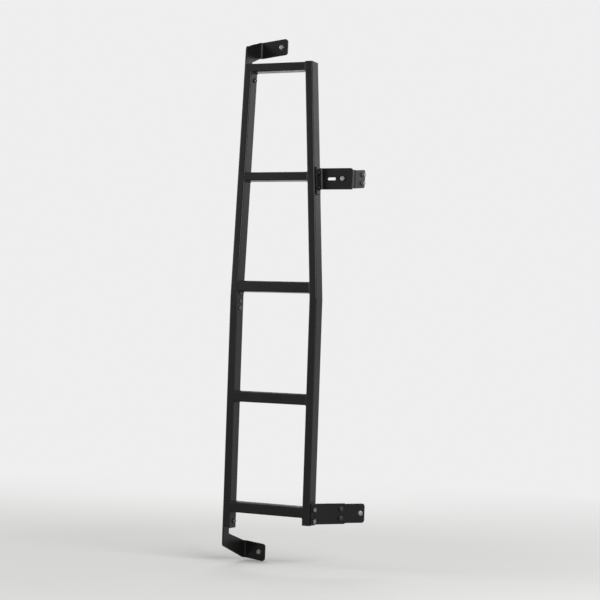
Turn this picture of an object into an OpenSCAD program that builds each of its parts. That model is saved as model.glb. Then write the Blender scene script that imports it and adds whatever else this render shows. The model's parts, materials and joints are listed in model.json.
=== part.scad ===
// Ladder for the rear door of a van: two box-tube rails in a lower and an upper half,
// five ribbed rungs, two folded straps that bolt to the door, and two brackets for its hinges.
// X runs along the rungs, Y towards the door and Z up. The origin lies on the door face of the bottom strap.

/* [Rails] */
// Width of a rail's tube, seen from behind
rail_w = 25; // [20:0.5:32]
// Depth of a rail's tube, from its rear face to its front face
rail_d = 45; // [40:0.5:55]
// Wall of the rail's tube
rail_wall = 2; // [1.5:0.1:3]
// Outer radius of the rail's corners
rail_corner = 5; // [3.5:0.5:8]
// Clear width between the rails below the bend
clear_w = 250; // [220:1:320]
// Length of the left rail below the centre of the lowest rung
left_tail = 64; // [45:1:90]
// Length of the right rail below the centre of the lowest rung
right_tail = 36; // [34:1:60]
// Length of the rails above the centre of the top rung
head = 12.5; // [12.5:0.5:40]

/* [Bend] */
// Angle by which the upper half leans towards the door
lean = 3.2; // [0:0.1:6]
// Angle by which the upper right rail runs inwards
taper = 5; // [0:0.1:6.5]
// Height of the bend below the centre of the middle rung
bend_drop = 32; // [24:1:60]
// Length of the splice bar on each side of the bend
splice_l = 70; // [40:1:110]
// Distance from the bend to the nearer splice bolt
splice_bolt_in = 14; // [10:1:20]
// Distance between the two splice bolts of one half
splice_bolt_pitch = 22; // [14:1:26]

/* [Rungs] */
// Distance from rung to rung along the rails
rung_pitch = 340; // [280:1:370]
// Depth of a rung, from front to back
rung_d = 40; // [32:0.5:43]
// Height of the three lower rungs
lower_rung_h = 32; // [24:0.5:40]
// Height of the two upper rungs
upper_rung_h = 25; // [20:0.5:30]
// Wall of a rung's tube
rung_wall = 2; // [1.5:0.1:3]
// Outer radius of a rung's corners
rung_corner = 4; // [3:0.5:6]
// Number of ribs along the top of a rung
rib_count = 5; // [3:1:6]
// Width of a rib
rib_w = 2.4; // [1.5:0.1:3]
// Height of a rib above the rung
rib_h = 1.2; // [0.8:0.1:2]

/* [Door straps] */
// Thickness of the strap plate
strap_t = 5; // [4:0.5:6]
// Clear distance from the front of the lower rails to the door
door_gap = 108; // [80:1:140]
// Width of the strap's tab on the side of the rail
strap_tab_w = 33; // [26:0.5:38]
// Length of the strap's tab on the rail
strap_tab_l = 62; // [50:1:70]
// Height of the bottom foot on the door
bottom_foot_h = 54; // [40:1:60]
// Height of the top foot on the door
top_foot_h = 51; // [36:1:58]
// Reach of the bottom foot along the door, from the outer side of the rail
bottom_foot_l = 72; // [60:1:110]
// Reach of the top foot along the door, from the outer side of the rail
top_foot_l = 92; // [62:1:120]
// Height of the bottom foot's centre below the end of the left rail
bottom_foot_drop = 79; // [65:1:95]
// Height of the top foot's centre above the end of the left rail
top_foot_rise = 56; // [50:1:85]
// Angle by which the bottom foot slopes down along the door
bottom_foot_slope = 6; // [0:0.5:12]
// Angle by which the top foot rises along the door
top_foot_slope = 6.5; // [0:0.5:12]
// Length by which the rear edge of a strap runs past the end of the rail
neck_l = 58; // [50:1:64]
// Diameter of the hole in a foot
foot_hole_d = 9; // [7:0.5:11]
// Distance from the end of a foot to its hole
foot_hole_in = 20; // [14:1:28]

/* [Hinge brackets] */
// Thickness of the bracket plates
bracket_t = 5; // [4:0.5:6]
// Height of the upper bracket's arm
upper_arm_h = 65; // [56:1:70]
// Reach of the upper arm beyond the side of the rail
upper_arm_l = 110; // [100:1:130]
// Length of the adjusting slot in the upper arm, over its round ends
slot_l = 58; // [30:1:64]
// Width of the adjusting slot
slot_w = 9; // [7:0.5:11]
// Height of the angle that joins the upper arm to the hinge
angle_h = 56; // [46:1:60]
// Reach of that angle towards the hinge
angle_reach = 76; // [60:1:120]
// Angle by which it rises towards the hinge
angle_slope = 9; // [0:0.5:12]
// Height of the lower bracket's arm
lower_arm_h = 63; // [54:1:68]
// Length of the lower arm beyond its fold
lower_arm_l = 100; // [80:1:120]
// Angle by which the lower arm turns outwards
lower_arm_turn = 35; // [20:1:50]
// Length of the lower hinge plate beyond the end of the lower arm
lower_plate_l = 66; // [40:1:80]
// Diameter of the holes for the hinge bolts
hinge_hole_d = 9; // [7:0.5:11]
// Distance between the two hinge bolts of the upper bracket
hinge_hole_pitch = 26; // [20:1:28]
// Distance from the end of a bracket to its hinge bolts
hinge_hole_in = 16; // [12:1:20]
// Length by which the lower hinge plate laps the arm
lower_lap_l = 46; // [36:1:60]

/* [Fasteners] */
// Diameter of the holes for the bolts that hold the tabs and the splices
bolt_hole_d = 8.4; // [6.4:0.1:9]
// Thickness of the flange of a rail's end cap
cap_t = 2; // [1.5:0.5:4]
// Depth of the plug of an end cap inside the rail
cap_plug_l = 12; // [8:1:14]

/* [Hidden] */
$fn = 48;

// Clearance of a plug or splice bar in its tube, on each side
fit_gap = 0.3;
// Inner radius of every fold
fold_r = 6;
// Place in a strap's fold from which its foot slopes, and how far the foot has come down at x
foot_start = fold_r / 4;
function foot_fall(x, slope) = (x - foot_start) * tan(slope);
// Steps in which the corner of an outline is rounded
corner_steps = 6;
// Length that is longer than the ladder, for cuts and sheets
far = 3000;
// Overshoot of a hole past the plate that it goes through
past = 1;

// Places in the ladder's own axes: x from the outer side of the left rail,
// y from the rear of the lower rails, z from the centre of the lowest rung
outer_w = clear_w + 2 * rail_w;
left_axis_x = rail_w / 2;
right_axis_x = outer_w - rail_w / 2;
mid_y = rail_d / 2;
door_y = rail_d + door_gap;
bend_z = 2 * rung_pitch - bend_drop;
top_rung_u = bend_drop + 2 * rung_pitch;
rail_top_u = top_rung_u + head;
tab_rear_y = rail_d - strap_tab_w;
strap_bolt_y = rail_d - strap_tab_w / 2;
bottom_foot_z = -left_tail - bottom_foot_drop;
top_foot_z = bend_z + rail_top_u * cos(lean) + top_foot_rise;
origin_x = 20;
origin = [origin_x, door_y, bottom_foot_z - foot_fall(origin_x, bottom_foot_slope)];

// Height of the crotch between the end of the rail and the arm of each strap
bottom_crotch = 23;
top_crotch = 12;
// Radii along a strap's side: the tab's corners, the neck's end, both edges of the arm, and the crotch
tab_corner = 4;
neck_corner = 10;
arm_corner = 20;
crotch_corner = 8;
// Radius of the free corners of feet and hinge brackets
foot_corner = 9;
// Distance from the end of the rail, and from the end of the tab, to the tab's bolts
tab_bolt_in = 19;
tab_bolt_edge = 14;

// Rear edge of the tabs of the hinge brackets, and the distance of their bolts above and below the arm's middle
bracket_tab_y = 8;
bracket_bolt_rise = 14;
upper_bolt_drop = 32;
lower_bolt_drop = 20;
// Height of each hinge bracket's middle below the centre of its rung
arm_drop = 4;
// Length by which the tab of the upper bracket reaches below its arm, and the relief beside its fold
upper_tab_drop = 18;
fold_relief = 2;
// Distance from the end of the slot to the end of the upper arm, and from there to the far side of the angle
slot_end = 27;
angle_past = 3;
// Distance from the front of the rail back to the start of the lower arm's fold
lower_fold_in = 5;
// Place and distance of the bolts where the lower arm and its plate lap, and the step between their edges
lap_bolt_in = 20;
lap_bolt_pitch = 28;
plate_step = 2;

painted = [0.07, 0.07, 0.08];
plastic = [0.04, 0.04, 0.04];

// Moves the ladder's own axes so that the origin lies on the bottom foot
module placed() {
    translate(-origin) children();
}

// Axes of the upper half: z runs up along the leaning rails from the bend
module in_upper() {
    translate([0, 0, bend_z]) rotate([-lean, 0, 0]) children();
}

// Axes of the upper right rail, with x and z centred on its tube at the bend
module in_upper_right() {
    in_upper() translate([right_axis_x, 0, 0]) rotate([0, -taper, 0]) children();
}

// Place in the ladder's own Y and Z of a point of the upper half
function leaned(y, u) = [y * cos(lean) + u * sin(lean), bend_z + u * cos(lean) - y * sin(lean)];

function unit(v) = v / norm(v);

// Arc of radius r that rounds the corner b between a and c, or the corner itself where r is zero
function corner_arc(a, b, c, r) = r == 0 ? [b] :
    let (p = unit(a - b), q = unit(c - b), half = acos(p * q) / 2,
        centre = b + unit(p + q) * r / sin(half), reach = r / tan(half),
        start = b + p * reach - centre, finish = b + q * reach - centre)
    [for (i = [0 : corner_steps]) centre + r * unit(start + (finish - start) * i / corner_steps)];

// Outline with every corner rounded, each by its own radius
function rounded(points, radii) =
    let (n = len(points))
    [for (i = [0 : n - 1]) each corner_arc(points[(i + n - 1) % n], points[i], points[(i + 1) % n], radii[i])];

// Rectangle with round corners, centred
module round_rect(w, h, r) {
    square([w - 2 * r, h], center = true);
    square([w, h - 2 * r], center = true);
    for (x = [-1, 1], y = [-1, 1]) translate([x * (w / 2 - r), y * (h / 2 - r)]) circle(r);
}

// Sector of a ring between two angles that are less than half a turn apart
module ring_sector(inner, outer, from, to) {
    wide = 2 * outer;
    middle = (from + to) / 2;
    intersection() {
        difference() {
            circle(outer);
            circle(inner);
        }
        polygon([[0, 0], for (a = [from, middle, to]) wide * [cos(a), sin(a)]]);
    }
}

// Draws a child outline in Y and Z, extruded along X from x0 over a length
module across(x0, length) {
    translate([x0, 0, 0]) rotate([90, 0, 90]) linear_extrude(length) children();
}

// Draws a child outline in X and Z, extruded along Y from y0 over a length
module along_y(y0, length) {
    translate([0, y0 + length, 0]) rotate([90, 0, 0]) linear_extrude(length) children();
}

// Rails
module rail_section() {
    difference() {
        round_rect(rail_w, rail_d, rail_corner);
        round_rect(rail_w - 2 * rail_wall, rail_d - 2 * rail_wall, rail_corner - rail_wall);
    }
}

module below_bend() {
    translate([-far / 2, -far / 2, bend_z - far]) cube(far);
}

module above_rail_top() {
    in_upper() translate([-far / 2, -far / 2, rail_top_u]) cube(far);
}

// Bolt hole through one side wall of a rail, whose axes are those of the rail's own tube
module side_hole(side, y, z) {
    translate([side * (rail_w / 2 - rail_wall / 2), y, z])
        rotate([0, 90, 0]) cylinder(d = bolt_hole_d, h = rail_wall + 2 * past, center = true);
}

// Heights of the splice bolts above or below the bend
function splice_bolts() = [splice_bolt_in, splice_bolt_in + splice_bolt_pitch];

// Heights of the strap bolts, measured from the end of the rail into it
function tab_bolts() = [tab_bolt_in, strap_tab_l - tab_bolt_edge];

// Places of the two bolts of each hinge bracket's tab, measured from the middle of its arm
bracket_bolt_y = (bracket_tab_y + rail_d - bracket_t - fold_r) / 2;
upper_bracket_bolts = [-upper_bolt_drop, bracket_bolt_rise];
lower_bracket_bolts = [-lower_bolt_drop, bracket_bolt_rise];
upper_arm_u = bend_drop + rung_pitch - arm_drop;
lower_arm_z = -arm_drop;
lower_fold_y = rail_d - lower_fold_in;

module lower_left_rail() {
    color(painted) placed() translate([left_axis_x, 0, 0]) difference() {
        translate([0, mid_y, -left_tail]) linear_extrude(left_tail + bend_z) rail_section();
        for (z = splice_bolts()) side_hole(1, mid_y, bend_z - z);
        for (z = tab_bolts()) side_hole(-1, strap_bolt_y, z - left_tail);
    }
}

module lower_right_rail() {
    color(painted) placed() translate([right_axis_x, 0, 0]) difference() {
        translate([0, mid_y, -right_tail]) linear_extrude(right_tail + bend_z) rail_section();
        for (z = splice_bolts()) side_hole(-1, mid_y, bend_z - z);
        for (z = lower_bracket_bolts) side_hole(1, bracket_bolt_y, lower_arm_z + z);
    }
}

module upper_left_rail() {
    color(painted) placed() difference() {
        in_upper() translate([left_axis_x, 0, 0]) difference() {
            translate([0, mid_y, -rail_d]) linear_extrude(rail_top_u + 2 * rail_d) rail_section();
            for (z = splice_bolts()) side_hole(1, mid_y, z);
            for (z = tab_bolts()) side_hole(-1, strap_bolt_y, rail_top_u - z);
        }
        below_bend();
        above_rail_top();
    }
}

module upper_right_rail() {
    color(painted) placed() difference() {
        in_upper_right() difference() {
            translate([0, mid_y, -rail_d]) linear_extrude(rail_top_u + 2 * rail_d) rail_section();
            for (z = splice_bolts()) side_hole(-1, mid_y, z);
            for (z = upper_bracket_bolts) side_hole(1, bracket_bolt_y, upper_arm_u / cos(taper) + z);
        }
        below_bend();
        above_rail_top();
    }
}

// Splice bars inside the rails, which join the two halves. A bar keeps clear of the round corners of the tube.
splice_w = rail_w - 2 * (rail_wall + fit_gap);
splice_d = rail_d - 2 * rail_corner;

// Corners of a bar's section, for its middle at x and a place in Y and Z for each depth
function bar_section(x, places) =
    [for (corner = [[-1, 0], [1, 0], [1, 1], [-1, 1]])
        [x + corner[0] * splice_w / 2, places[corner[1]][0], places[corner[1]][1]]];

// Bar that bends with the rail, which runs inwards by a slope above the bend
module splice_bar(x, slope) {
    near = mid_y - splice_d / 2;
    distant = mid_y + splice_d / 2;
    points = concat(
        bar_section(x, [[near, bend_z - splice_l], [distant, bend_z - splice_l]]),
        bar_section(x, [[near, bend_z], [distant, bend_z]]),
        bar_section(x - splice_l * slope, [leaned(near, splice_l), leaned(distant, splice_l)]));
    sides = [for (ring = [0, 4], i = [0 : 3]) [ring + i, ring + 4 + i, ring + 4 + (i + 1) % 4, ring + (i + 1) % 4]];
    polyhedron(points, concat([[0, 1, 2, 3]], sides, [[11, 10, 9, 8]]));
}

module left_splice() {
    color(painted) placed() splice_bar(left_axis_x, 0);
}

module right_splice() {
    color(painted) placed() splice_bar(right_axis_x, tan(taper));
}

// Rungs
rib_pitch = (rung_d - 2 * rung_corner) / rib_count;

// Section of a rung: a box tube with ribs along its top
module rung_section(height) {
    difference() {
        round_rect(rung_d, height, rung_corner);
        round_rect(rung_d - 2 * rung_wall, height - 2 * rung_wall, rung_corner - rung_wall);
    }
    for (i = [0 : rib_count - 1])
        translate([(i - (rib_count - 1) / 2) * rib_pitch - rib_w / 2, (height - rung_wall) / 2])
            square([rib_w, rib_h + rung_wall / 2]);
}

// Rung of the lower half, square to both rails
module lower_rung(z) {
    placed() translate([0, mid_y, z]) across(rail_w, clear_w) rung_section(lower_rung_h);
}

// Rung of the upper half, whose right end is cut to the slope of the right rail
module upper_rung(u, height) {
    placed() difference() {
        in_upper() translate([0, mid_y, u]) across(rail_w, clear_w + rail_w) rung_section(height);
        in_upper_right() translate([-rail_w / 2, -far / 2, -far / 2]) cube(far);
    }
}

module rung_1() color(painted) lower_rung(0);
module rung_2() color(painted) lower_rung(rung_pitch);
module rung_3() color(painted) upper_rung(bend_drop, lower_rung_h);
module rung_4() color(painted) upper_rung(bend_drop + rung_pitch, upper_rung_h);
module rung_5() color(painted) upper_rung(top_rung_u, upper_rung_h);

// End caps: a flange as large as the tube and a hollow plug inside it
cap_wall = 2;
plug_d = rail_d - 2 * (rail_wall + fit_gap);

module plug_section() {
    difference() {
        round_rect(splice_w, plug_d, rail_corner - rail_wall);
        round_rect(splice_w - 2 * cap_wall, plug_d - 2 * cap_wall, rail_corner - rail_wall - cap_wall / 2);
    }
}

module cap_flange() {
    linear_extrude(cap_t) round_rect(rail_w, rail_d, rail_corner);
}

module cap_plug() {
    linear_extrude(cap_plug_l) plug_section();
}

// Cap under the foot of a rail whose lower end is at z
module lower_cap(x, z) {
    placed() translate([x, mid_y, z]) {
        translate([0, 0, -cap_t]) cap_flange();
        cap_plug();
    }
}

module lower_left_cap() color(plastic) lower_cap(left_axis_x, -left_tail);
module lower_right_cap() color(plastic) lower_cap(right_axis_x, -right_tail);

module upper_left_cap() {
    color(plastic) placed() in_upper() translate([left_axis_x, mid_y, rail_top_u]) {
        cap_flange();
        translate([0, 0, -cap_plug_l]) cap_plug();
    }
}

module upper_right_cap() {
    color(plastic) placed() {
        in_upper() translate([right_axis_x - rail_top_u * tan(taper), mid_y, rail_top_u]) cap_flange();
        intersection() {
            in_upper_right() translate([0, mid_y, rail_top_u / cos(taper) - cap_plug_l])
                linear_extrude(2 * cap_plug_l) plug_section();
            in_upper() translate([-far / 2, -far / 2, rail_top_u - far]) cube(far);
        }
    }
}

// Plates: a tongue is a plate's outline with its two free corners round
module tongue(length, height, r) {
    translate([0, -height / 2]) square([length - r, height]);
    translate([0, r - height / 2]) square([length, height - 2 * r]);
    for (side = [-1, 1]) translate([length - r, side * (height / 2 - r)]) circle(r);
}

// Door straps: a tab on the outer side of the left rail, an arm to the door and a foot on it

// Plan of the folded sheet: the arm lies outside the rail and the foot against the door
module strap_plan(foot_l) {
    fold_y = door_y - strap_t - fold_r;
    translate([-strap_t, 0]) square([strap_t, fold_y]);
    translate([fold_r, fold_y]) ring_sector(fold_r, fold_r + strap_t, 90, 180);
    translate([fold_r, door_y - strap_t]) square([foot_l - fold_r, strap_t]);
}

// Side outline of a strap: its tab on the rail, the neck past the rail's end and the foot's height at the door
module strap_side(tab_rear, neck_rear, neck_front, tab_front, foot_z, foot_h, up) {
    fold_y = door_y - strap_t - fold_r;
    far_edge = foot_z + up * foot_h / 2;
    near_edge = foot_z - up * foot_h / 2;
    polygon(rounded([tab_rear, neck_rear, [fold_y, far_edge], [door_y + past, far_edge],
        [door_y + past, near_edge], [fold_y, near_edge], neck_front, tab_front],
        [tab_corner, neck_corner, arm_corner, 0, 0, arm_corner, crotch_corner, tab_corner]));
}

// Front outline of a foot that slopes along the door, and of the fold beside it
module strap_front(foot_z, foot_l, foot_h, slope) {
    high = foot_z + foot_h / 2;
    low = foot_z - foot_h / 2;
    fall = foot_fall(foot_l, slope);
    polygon(rounded([[-strap_t - past, low], [foot_start, low], [foot_l, low - fall],
        [foot_l, high - fall], [foot_start, high], [-strap_t - past, high]],
        [0, 0, foot_corner, foot_corner, 0, 0]));
}

// Strap of one end of the ladder, with the hole in its foot
module strap(tab_rear, neck_rear, neck_front, tab_front, foot_z, foot_l, foot_h, slope, up) {
    hole_x = foot_l - foot_hole_in;
    fold_middle = door_y - strap_t - fold_r / 2;
    difference() {
        intersection() {
            translate([0, 0, foot_z - far / 2]) linear_extrude(far) strap_plan(foot_l);
            union() {
                across(-far / 2, far / 2 + foot_start)
                    strap_side(tab_rear, neck_rear, neck_front, tab_front, foot_z, foot_h, up);
                along_y(fold_middle, far) strap_front(foot_z, foot_l, foot_h, slope);
            }
        }
        translate([hole_x, door_y + past, foot_z - foot_fall(hole_x, slope)])
            rotate([90, 0, 0]) cylinder(d = foot_hole_d, h = strap_t + 2 * past);
    }
}

// Bolt hole through the tab of a strap
module tab_hole(z) {
    translate([-strap_t - past, strap_bolt_y, z]) rotate([0, 90, 0])
        cylinder(d = bolt_hole_d, h = strap_t + 2 * past);
}

module bottom_door_strap() {
    color(painted) placed() difference() {
        strap([tab_rear_y, strap_tab_l - left_tail], [tab_rear_y, -left_tail - neck_l],
            [rail_d, -left_tail - bottom_crotch], [rail_d, strap_tab_l - left_tail],
            bottom_foot_z, bottom_foot_l, bottom_foot_h, bottom_foot_slope, -1);
        for (z = tab_bolts()) tab_hole(z - left_tail);
    }
}

module top_door_strap() {
    color(painted) placed() difference() {
        strap(leaned(tab_rear_y, rail_top_u - strap_tab_l), leaned(tab_rear_y, rail_top_u + neck_l),
            leaned(rail_d, rail_top_u + top_crotch), leaned(rail_d, rail_top_u - strap_tab_l),
            top_foot_z, top_foot_l, top_foot_h, -top_foot_slope, 1);
        in_upper() for (z = tab_bolts()) tab_hole(rail_top_u - z);
    }
}

// Upper hinge bracket: an arm with an adjusting slot, and an angle that reaches the hinge

// Outer side of the right rail at the height of the arm, in the axes of the upper half
upper_side_x = right_axis_x + rail_w / 2 / cos(taper) - upper_arm_u * tan(taper);
upper_arm_end = upper_side_x + upper_arm_l;
slot_x = upper_arm_end - slot_end - slot_l / 2;
angle_bolt_x = slot_x + (slot_l - slot_w) / 2;
angle_x = upper_arm_end + angle_past;

// Plan of the arm's folded sheet in the axes of the upper right rail
module upper_arm_plan() {
    side = rail_w / 2;
    arm_y = rail_d - bracket_t;
    translate([side, bracket_tab_y]) square([bracket_t, arm_y - fold_r - bracket_tab_y]);
    translate([side + bracket_t + fold_r, arm_y - fold_r])
        ring_sector(fold_r, fold_r + bracket_t, 90, 180);
    translate([side + bracket_t + fold_r, arm_y]) square([2 * upper_arm_l, bracket_t]);
}

module upper_hinge_arm() {
    low = upper_arm_h / 2 + upper_tab_drop;
    high = upper_arm_h / 2;
    left = upper_side_x - rail_d;
    color(painted) placed() difference() {
        intersection() {
            in_upper_right() linear_extrude(2 * upper_arm_u) upper_arm_plan();
            in_upper() along_y(-far / 2, far) translate([0, upper_arm_u])
                polygon(rounded([[left, -low], [upper_arm_end, -low], [upper_arm_end, high], [left, high]],
                    [0, foot_corner, foot_corner, 0]));
        }
        in_upper() {
            translate([left, rail_d - bracket_t - fold_r - fold_relief, upper_arm_u - high - far])
                cube(far);
            along_y(0, 2 * rail_d) translate([slot_x, upper_arm_u]) {
                square([slot_l - slot_w, slot_w], center = true);
                for (side = [-1, 1]) translate([side * (slot_l - slot_w) / 2, 0]) circle(d = slot_w);
            }
        }
        in_upper_right() for (z = upper_bracket_bolts)
            translate([rail_w / 2 - past, bracket_bolt_y, upper_arm_u / cos(taper) + z])
                rotate([0, 90, 0]) cylinder(d = bolt_hole_d, h = bracket_t + 2 * past);
    }
}

// Angle behind the arm: one leg is clamped through the slot, the other runs to the hinge
module upper_hinge_angle() {
    lap = angle_x - angle_bolt_x + angle_h / 2;
    turn_x = angle_x - bracket_t - fold_r;
    turn_y = rail_d + bracket_t + fold_r;
    leg = angle_reach - bracket_t - fold_r;
    rise = leg * tan(angle_slope);
    hole_in = leg - hinge_hole_in;
    color(painted) placed() in_upper() translate([0, 0, upper_arm_u]) difference() {
        union() {
            along_y(rail_d, bracket_t) translate([turn_x, 0]) mirror([1, 0])
                tongue(lap - bracket_t - fold_r, angle_h, foot_corner);
            translate([turn_x, turn_y, -angle_h / 2]) linear_extrude(angle_h)
                ring_sector(fold_r, fold_r + bracket_t, 270, 360);
            translate([0, turn_y, 0]) across(angle_x - bracket_t, bracket_t)
                polygon(rounded([[0, -angle_h / 2], [leg, rise - angle_h / 2], [leg, rise + angle_h / 2],
                    [0, angle_h / 2]], [0, foot_corner, foot_corner, 0]));
        }
        translate([angle_bolt_x, rail_d + bracket_t + past, 0]) rotate([90, 0, 0])
            cylinder(d = slot_w, h = bracket_t + 2 * past);
        for (side = [-1, 1])
            translate([angle_x - bracket_t - past, turn_y + hole_in,
                hole_in * tan(angle_slope) + side * hinge_hole_pitch / 2])
                rotate([0, 90, 0]) cylinder(d = hinge_hole_d, h = bracket_t + 2 * past);
    }
}

// Lower hinge bracket: an arm that turns outwards to the hinge, and a plate bolted to its end

// Axes of the lower arm beyond its fold: y runs along it, x is zero on its rear face
module along_lower_arm() {
    translate([outer_w + bracket_t + fold_r, lower_fold_y, lower_arm_z]) rotate(-lower_arm_turn)
        translate([-fold_r, 0, 0]) children();
}

// Bolt holes through the arm and the plate where they lap
module lap_holes() {
    for (side = [-1, 1])
        translate([-2 * bracket_t - past, lower_arm_l - lap_bolt_in, side * lap_bolt_pitch / 2])
            rotate([0, 90, 0]) cylinder(d = bolt_hole_d, h = 2 * bracket_t + 2 * past);
}

// Arc of the lower arm's fold, from the tab to the leg
function fold_arc(r) =
    [for (i = [0 : corner_steps]) let (a = 180 - lower_arm_turn * i / corner_steps)
        [outer_w + bracket_t + fold_r, lower_fold_y] + r * [cos(a), sin(a)]];

// Plan of the lower arm: its tab, the fold, and the leg, which runs past its end to be cut to shape
function lower_arm_plan() =
    let (outer = fold_arc(fold_r + bracket_t), inner = fold_arc(fold_r),
        leg = (lower_arm_l + past) * [sin(lower_arm_turn), cos(lower_arm_turn)])
    concat([[outer_w, bracket_tab_y]], outer, [outer[corner_steps] + leg, inner[corner_steps] + leg],
        [for (i = [corner_steps : -1 : 0]) inner[i]], [[outer_w + bracket_t, bracket_tab_y]]);

module lower_hinge_arm() {
    color(painted) placed() difference() {
        intersection() {
            translate([0, 0, lower_arm_z - far / 2]) linear_extrude(far)
                polygon(lower_arm_plan());
            along_lower_arm() across(-far / 2, far) translate([-far, 0])
                tongue(far + lower_arm_l, lower_arm_h, foot_corner);
        }
        along_lower_arm() lap_holes();
        for (z = lower_bracket_bolts)
            translate([outer_w - past, bracket_bolt_y, lower_arm_z + z])
                rotate([0, 90, 0]) cylinder(d = bolt_hole_d, h = bracket_t + 2 * past);
    }
}

module lower_hinge_plate() {
    back = lower_arm_l - lower_lap_l;
    length = lower_lap_l + lower_plate_l;
    height = lower_arm_h - 2 * plate_step;
    color(painted) placed() along_lower_arm() difference() {
        across(-2 * bracket_t, bracket_t) translate([back + length / 2, 0])
            round_rect(length, height, foot_corner);
        lap_holes();
        translate([-2 * bracket_t - past, lower_arm_l + lower_plate_l - hinge_hole_in, 0])
            rotate([0, 90, 0]) cylinder(d = hinge_hole_d, h = bracket_t + 2 * past);
    }
}

lower_left_rail();
lower_right_rail();
upper_left_rail();
upper_right_rail();
left_splice();
right_splice();
rung_1();
rung_2();
rung_3();
rung_4();
rung_5();
lower_left_cap();
lower_right_cap();
upper_left_cap();
upper_right_cap();
bottom_door_strap();
top_door_strap();
upper_hinge_arm();
upper_hinge_angle();
lower_hinge_arm();
lower_hinge_plate();
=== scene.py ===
"""Bolts, weld beads, powder coat and a plain studio for a van ladder."""

import json
import math

import bmesh
import bpy
from bpy.props import FloatProperty, FloatVectorProperty, IntProperty, PointerProperty
from mathutils import Matrix, Vector


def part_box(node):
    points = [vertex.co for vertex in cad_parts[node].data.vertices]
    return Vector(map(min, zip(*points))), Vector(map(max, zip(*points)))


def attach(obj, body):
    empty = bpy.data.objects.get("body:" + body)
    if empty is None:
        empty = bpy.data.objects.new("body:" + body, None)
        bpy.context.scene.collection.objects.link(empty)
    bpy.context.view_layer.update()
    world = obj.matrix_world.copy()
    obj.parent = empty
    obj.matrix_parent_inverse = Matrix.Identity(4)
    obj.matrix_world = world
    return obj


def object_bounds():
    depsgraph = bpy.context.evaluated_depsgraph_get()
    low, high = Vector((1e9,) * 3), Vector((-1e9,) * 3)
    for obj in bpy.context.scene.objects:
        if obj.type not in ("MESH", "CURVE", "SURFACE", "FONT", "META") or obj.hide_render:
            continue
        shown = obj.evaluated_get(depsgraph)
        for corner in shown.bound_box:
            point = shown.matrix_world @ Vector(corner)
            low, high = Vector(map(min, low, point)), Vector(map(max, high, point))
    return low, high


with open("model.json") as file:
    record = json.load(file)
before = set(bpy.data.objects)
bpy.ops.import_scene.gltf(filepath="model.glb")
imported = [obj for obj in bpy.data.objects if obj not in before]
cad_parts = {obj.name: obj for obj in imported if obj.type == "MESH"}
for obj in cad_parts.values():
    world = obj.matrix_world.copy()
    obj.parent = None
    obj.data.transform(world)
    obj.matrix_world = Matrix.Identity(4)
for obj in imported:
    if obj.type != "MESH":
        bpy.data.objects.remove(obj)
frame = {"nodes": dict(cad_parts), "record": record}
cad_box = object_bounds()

bl_info = {
    "name": "Van Ladder",
    "version": (1, 0, 0),
    "blender": (4, 5, 0),
    "location": "View3D > Sidebar > Ladder",
    "description": "Dresses a van ladder with bolts, weld beads, powder coat and a studio",
    "category": "Add Mesh",
}

MM = 0.001
BODY = "root"

# Meshes: sides of a round ring, steps of a dome and of a bead's bulge, samples to a ripple of a bead, the angle from
# which an edge is sharp, and the distance at which vertices are merged
SEGMENTS = 24
DOME_STEPS = 5
BEAD_STEPS = 4
RIPPLE_SAMPLES = 6
SHARP_ANGLE = math.radians(35)
MERGE = 0.001 * MM

# Bolts: slope of the turned chamfer of a head, radius of its round crown as a share of its width across flats, and
# radius of the flat round a socket as a share of the socket's width
CHAMFER = math.tan(math.radians(30))
CROWN = 0.47
SOCKET_RIM = 0.68

# Rungs: how many there are, how many of them from below are on the lower rails, and how many are of the taller tube
RUNGS = 5
LOW_RUNGS = 2
TALL_RUNGS = 3

# Materials: the range in which most of a noise lies, the samples of a softened edge, and the sockets of a Mix node for
# its factor, its two colours and its result
NOISE_SPAN = (0.3, 0.7)
BEVEL_SAMPLES = 6
MIX_FACTOR, MIX_A, MIX_B, MIX_RESULT = 0, 6, 7, 2

# Powder coat, each as the value where it starts and where it is full: the turn of the softened normal at an edge, the
# noise of a rubbed patch, the upward part of the normal where dust lies, and the noise and the share of the dust
EDGE_TURN = (0.985, 0.86)
RUBBED_PATCH = (0.52, 0.68)
LEVEL_FACE = (0.55, 0.97)
DUST_NOISE = (0.35, 0.75)
DUST_SHARE = (0.03, 0.2)
DUST_ROUGH = 0.8

# Studio: roughness of the floor, distances from the ladder between which it turns into the backdrop's colour, and each
# lamp's name, place from the ladder's middle, and width and height
FLOOR_ROUGH = 0.9
FLOOR_FADE = (0.9, 3.2)
LAMPS = (
    ("key", (3.1, -1.5, 1.05), (3.2, 1.5)),
    ("fill", (-2.8, -2.2, 0.8), (1.8, 1.8)),
    ("far", (-1.9, 2.8, 1.2), (2.2, 2.2)),
    ("sheen", (1.5, 2.9, 1.5), (1.8, 1.8)),
)


def length(name, description, default):
    """A size in metres, with its default given in millimetres."""
    return FloatProperty(name=name, description=description, default=default * MM, min=0, unit="LENGTH", precision=5)


def angle(name, description, default):
    """An angle, with its default given in degrees."""
    return FloatProperty(name=name, description=description, default=math.radians(default), unit="ROTATION")


def colour(name, description, default):
    """A linear colour."""
    return FloatVectorProperty(name=name, description=description, default=default, size=3, min=0, max=1,
                               subtype="COLOR")


def share(name, description, default):
    """A number from nothing to one."""
    return FloatProperty(name=name, description=description, default=default, min=0, max=1, subtype="FACTOR")


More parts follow.
